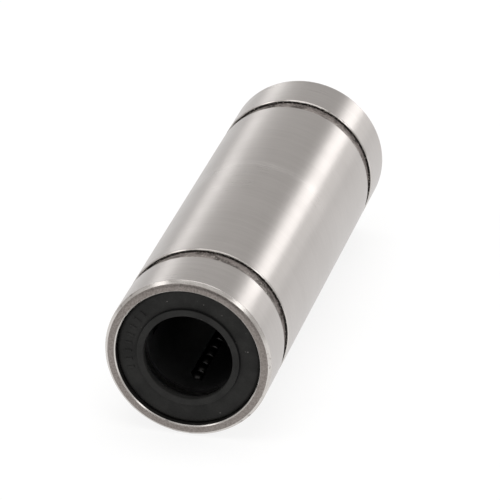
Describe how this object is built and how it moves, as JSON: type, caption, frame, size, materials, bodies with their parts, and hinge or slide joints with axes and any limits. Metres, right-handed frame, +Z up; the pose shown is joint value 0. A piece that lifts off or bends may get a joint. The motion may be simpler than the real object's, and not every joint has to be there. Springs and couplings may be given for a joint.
{
  "type": "linear ball bushing",
  "caption": "Long round linear ball bushing: a steel sleeve with retaining-ring grooves, caged recirculating balls inside and a rubber lip seal at each end.",
  "frame": {"origin": "centre of the bore at the middle of the bushing's length", "axes": "+Y along the bore from the front end to the rear end, +Z up, +X to the right"},
  "size_m": [0.015, 0.045, 0.015],
  "materials": {
    "sleeve_steel": "hardened bearing steel, fine ground outside, turned grooves",
    "ball_steel": "polished bearing balls",
    "ring_steel": "pressed steel ring",
    "cage_resin": "moulded dark resin",
    "seal_rubber": "matte moulded nitrile rubber"
  },
  "bodies": {
    "bushing": {"outer_sleeve": "sleeve_steel", "centre_spacer": "cage_resin", "front_cage": "cage_resin", "front_end_ring": "ring_steel", "front_seal": "seal_rubber", "rear_cage": "cage_resin", "rear_end_ring": "ring_steel", "rear_seal": "seal_rubber"},
    "front_load_row_1": {"front_load_row_1": "ball_steel"},
    "front_outer_turn_1": {"front_outer_turn_1": "ball_steel"},
    "front_return_row_1": {"front_return_row_1": "ball_steel"},
    "front_inner_turn_1": {"front_inner_turn_1": "ball_steel"},
    "front_load_row_2": {"front_load_row_2": "ball_steel"},
    "front_outer_turn_2": {"front_outer_turn_2": "ball_steel"},
    "front_return_row_2": {"front_return_row_2": "ball_steel"},
    "front_inner_turn_2": {"front_inner_turn_2": "ball_steel"},
    "front_load_row_3": {"front_load_row_3": "ball_steel"},
    "front_outer_turn_3": {"front_outer_turn_3": "ball_steel"},
    "front_return_row_3": {"front_return_row_3": "ball_steel"},
    "front_inner_turn_3": {"front_inner_turn_3": "ball_steel"},
    "front_load_row_4": {"front_load_row_4": "ball_steel"},
    "front_outer_turn_4": {"front_outer_turn_4": "ball_steel"},
    "front_return_row_4": {"front_return_row_4": "ball_steel"},
    "front_inner_turn_4": {"front_inner_turn_4": "ball_steel"},
    "rear_load_row_1": {"rear_load_row_1": "ball_steel"},
    "rear_outer_turn_1": {"rear_outer_turn_1": "ball_steel"},
    "rear_return_row_1": {"rear_return_row_1": "ball_steel"},
    "rear_inner_turn_1": {"rear_inner_turn_1": "ball_steel"},
    "rear_load_row_2": {"rear_load_row_2": "ball_steel"},
    "rear_outer_turn_2": {"rear_outer_turn_2": "ball_steel"},
    "rear_return_row_2": {"rear_return_row_2": "ball_steel"},
    "rear_inner_turn_2": {"rear_inner_turn_2": "ball_steel"},
    "rear_load_row_3": {"rear_load_row_3": "ball_steel"},
    "rear_outer_turn_3": {"rear_outer_turn_3": "ball_steel"},
    "rear_return_row_3": {"rear_return_row_3": "ball_steel"},
    "rear_inner_turn_3": {"rear_inner_turn_3": "ball_steel"},
    "rear_load_row_4": {"rear_load_row_4": "ball_steel"},
    "rear_outer_turn_4": {"rear_outer_turn_4": "ball_steel"},
    "rear_return_row_4": {"rear_return_row_4": "ball_steel"},
    "rear_inner_turn_4": {"rear_inner_turn_4": "ball_steel"}
  },
  "joints": [
    {"name": "front_load_slide_1", "type": "slide", "parent": "bushing", "child": "front_load_row_1", "axis": [0, -1, 0], "range_m": [0, 0.00162]},
    {"name": "front_outer_turn_swing_1", "type": "hinge", "parent": "bushing", "child": "front_outer_turn_1", "pos_m": [0.00111, -0.01696, -0.00472], "axis": [-0.033, -0.2588, 0.9654], "range_deg": [0, 60]},
    {"name": "front_return_slide_1", "type": "slide", "parent": "bushing", "child": "front_return_row_1", "axis": [0, 1, 0], "range_m": [0, 0.00162]},
    {"name": "front_inner_turn_swing_1", "type": "hinge", "parent": "bushing", "child": "front_inner_turn_1", "pos_m": [0.00111, -0.004, -0.00472], "axis": [-0.033, 0.2588, 0.9654], "range_deg": [0, 60]},
    {"name": "front_load_slide_2", "type": "slide", "parent": "bushing", "child": "front_load_row_2", "axis": [0, -1, 0], "range_m": [0, 0.00162]},
    {"name": "front_outer_turn_swing_2", "type": "hinge", "parent": "bushing", "child": "front_outer_turn_2", "pos_m": [0.00472, -0.01696, 0.00111], "axis": [-0.9654, -0.2588, -0.033], "range_deg": [0, 60]},
    {"name": "front_return_slide_2", "type": "slide", "parent": "bushing", "child": "front_return_row_2", "axis": [0, 1, 0], "range_m": [0, 0.00162]},
    {"name": "front_inner_turn_swing_2", "type": "hinge", "parent": "bushing", "child": "front_inner_turn_2", "pos_m": [0.00472, -0.004, 0.00111], "axis": [-0.9654, 0.2588, -0.033], "range_deg": [0, 60]},
    {"name": "front_load_slide_3", "type": "slide", "parent": "bushing", "child": "front_load_row_3", "axis": [0, -1, 0], "range_m": [0, 0.00162]},
    {"name": "front_outer_turn_swing_3", "type": "hinge", "parent": "bushing", "child": "front_outer_turn_3", "pos_m": [-0.00111, -0.01696, 0.00472], "axis": [0.033, -0.2588, -0.9654], "range_deg": [0, 60]},
    {"name": "front_return_slide_3", "type": "slide", "parent": "bushing", "child": "front_return_row_3", "axis": [0, 1, 0], "range_m": [0, 0.00162]},
    {"name": "front_inner_turn_swing_3", "type": "hinge", "parent": "bushing", "child": "front_inner_turn_3", "pos_m": [-0.00111, -0.004, 0.00472], "axis": [0.033, 0.2588, -0.9654], "range_deg": [0, 60]},
    {"name": "front_load_slide_4", "type": "slide", "parent": "bushing", "child": "front_load_row_4", "axis": [0, -1, 0], "range_m": [0, 0.00162]},
    {"name": "front_outer_turn_swing_4", "type": "hinge", "parent": "bushing", "child": "front_outer_turn_4", "pos_m": [-0.00472, -0.01696, -0.00111], "axis": [0.9654, -0.2588, 0.033], "range_deg": [0, 60]},
    {"name": "front_return_slide_4", "type": "slide", "parent": "bushing", "child": "front_return_row_4", "axis": [0, 1, 0], "range_m": [0, 0.00162]},
    {"name": "front_inner_turn_swing_4", "type": "hinge", "parent": "bushing", "child": "front_inner_turn_4", "pos_m": [-0.00472, -0.004, -0.00111], "axis": [0.9654, 0.2588, 0.033], "range_deg": [0, 60]},
    {"name": "rear_load_slide_1", "type": "slide", "parent": "bushing", "child": "rear_load_row_1", "axis": [0, 1, 0], "range_m": [0, 0.00162]},
    {"name": "rear_outer_turn_swing_1", "type": "hinge", "parent": "bushing", "child": "rear_outer_turn_1", "pos_m": [-0.00206, 0.01696, -0.00439], "axis": [0.233, 0.2588, 0.9374], "range_deg": [0, 60]},
    {"name": "rear_return_slide_1", "type": "slide", "parent": "bushing", "child": "rear_return_row_1", "axis": [0, -1, 0], "range_m": [0, 0.00162]},
    {"name": "rear_inner_turn_swing_1", "type": "hinge", "parent": "bushing", "child": "rear_inner_turn_1", "pos_m": [-0.00206, 0.004, -0.00439], "axis": [0.233, -0.2588, 0.9374], "range_deg": [0, 60]},
    {"name": "rear_load_slide_2", "type": "slide", "parent": "bushing", "child": "rear_load_row_2", "axis": [0, 1, 0], "range_m": [0, 0.00162]},
    {"name": "rear_outer_turn_swing_2", "type": "hinge", "parent": "bushing", "child": "rear_outer_turn_2", "pos_m": [-0.00439, 0.01696, 0.00206], "axis": [0.9374, 0.2588, -0.233], "range_deg": [0, 60]},
    {"name": "rear_return_slide_2", "type": "slide", "parent": "bushing", "child": "rear_return_row_2", "axis": [0, -1, 0], "range_m": [0, 0.00162]},
    {"name": "rear_inner_turn_swing_2", "type": "hinge", "parent": "bushing", "child": "rear_inner_turn_2", "pos_m": [-0.00439, 0.004, 0.00206], "axis": [0.9374, -0.2588, -0.233], "range_deg": [0, 60]},
    {"name": "rear_load_slide_3", "type": "slide", "parent": "bushing", "child": "rear_load_row_3", "axis": [0, 1, 0], "range_m": [0, 0.00162]},
    {"name": "rear_outer_turn_swing_3", "type": "hinge", "parent": "bushing", "child": "rear_outer_turn_3", "pos_m": [0.00206, 0.01696, 0.00439], "axis": [-0.233, 0.2588, -0.9374], "range_deg": [0, 60]},
    {"name": "rear_return_slide_3", "type": "slide", "parent": "bushing", "child": "rear_return_row_3", "axis": [0, -1, 0], "range_m": [0, 0.00162]},
    {"name": "rear_inner_turn_swing_3", "type": "hinge", "parent": "bushing", "child": "rear_inner_turn_3", "pos_m": [0.00206, 0.004, 0.00439], "axis": [-0.233, -0.2588, -0.9374], "range_deg": [0, 60]},
    {"name": "rear_load_slide_4", "type": "slide", "parent": "bushing", "child": "rear_load_row_4", "axis": [0, 1, 0], "range_m": [0, 0.00162]},
    {"name": "rear_outer_turn_swing_4", "type": "hinge", "parent": "bushing", "child": "rear_outer_turn_4", "pos_m": [0.00439, 0.01696, -0.00206], "axis": [-0.9374, 0.2588, 0.233], "range_deg": [0, 60]},
    {"name": "rear_return_slide_4", "type": "slide", "parent": "bushing", "child": "rear_return_row_4", "axis": [0, -1, 0], "range_m": [0, 0.00162]},
    {"name": "rear_inner_turn_swing_4", "type": "hinge", "parent": "bushing", "child": "rear_inner_turn_4", "pos_m": [0.00439, 0.004, -0.00206], "axis": [-0.9374, -0.2588, 0.233], "range_deg": [0, 60]}
  ],
  "couplings": [
    {"joint": "front_outer_turn_swing_1", "follows": "front_load_slide_1", "rad_per_m": 646.4},
    {"joint": "front_return_slide_1", "follows": "front_load_slide_1", "ratio": 1},
    {"joint": "front_inner_turn_swing_1", "follows": "front_load_slide_1", "rad_per_m": 646.4},
    {"joint": "front_outer_turn_swing_2", "follows": "front_load_slide_2", "rad_per_m": 646.4},
    {"joint": "front_return_slide_2", "follows": "front_load_slide_2", "ratio": 1},
    {"joint": "front_inner_turn_swing_2", "follows": "front_load_slide_2", "rad_per_m": 646.4},
    {"joint": "front_outer_turn_swing_3", "follows": "front_load_slide_3", "rad_per_m": 646.4},
    {"joint": "front_return_slide_3", "follows": "front_load_slide_3", "ratio": 1},
    {"joint": "front_inner_turn_swing_3", "follows": "front_load_slide_3", "rad_per_m": 646.4},
    {"joint": "front_outer_turn_swing_4", "follows": "front_load_slide_4", "rad_per_m": 646.4},
    {"joint": "front_return_slide_4", "follows": "front_load_slide_4", "ratio": 1},
    {"joint": "front_inner_turn_swing_4", "follows": "front_load_slide_4", "rad_per_m": 646.4},
    {"joint": "rear_outer_turn_swing_1", "follows": "rear_load_slide_1", "rad_per_m": 646.4},
    {"joint": "rear_return_slide_1", "follows": "rear_load_slide_1", "ratio": 1},
    {"joint": "rear_inner_turn_swing_1", "follows": "rear_load_slide_1", "rad_per_m": 646.4},
    {"joint": "rear_outer_turn_swing_2", "follows": "rear_load_slide_2", "rad_per_m": 646.4},
    {"joint": "rear_return_slide_2", "follows": "rear_load_slide_2", "ratio": 1},
    {"joint": "rear_inner_turn_swing_2", "follows": "rear_load_slide_2", "rad_per_m": 646.4},
    {"joint": "rear_outer_turn_swing_3", "follows": "rear_load_slide_3", "rad_per_m": 646.4},
    {"joint": "rear_return_slide_3", "follows": "rear_load_slide_3", "ratio": 1},
    {"joint": "rear_inner_turn_swing_3", "follows": "rear_load_slide_3", "rad_per_m": 646.4},
    {"joint": "rear_outer_turn_swing_4", "follows": "rear_load_slide_4", "rad_per_m": 646.4},
    {"joint": "rear_return_slide_4", "follows": "rear_load_slide_4", "ratio": 1},
    {"joint": "rear_inner_turn_swing_4", "follows": "rear_load_slide_4", "rad_per_m": 646.4}
  ]
}
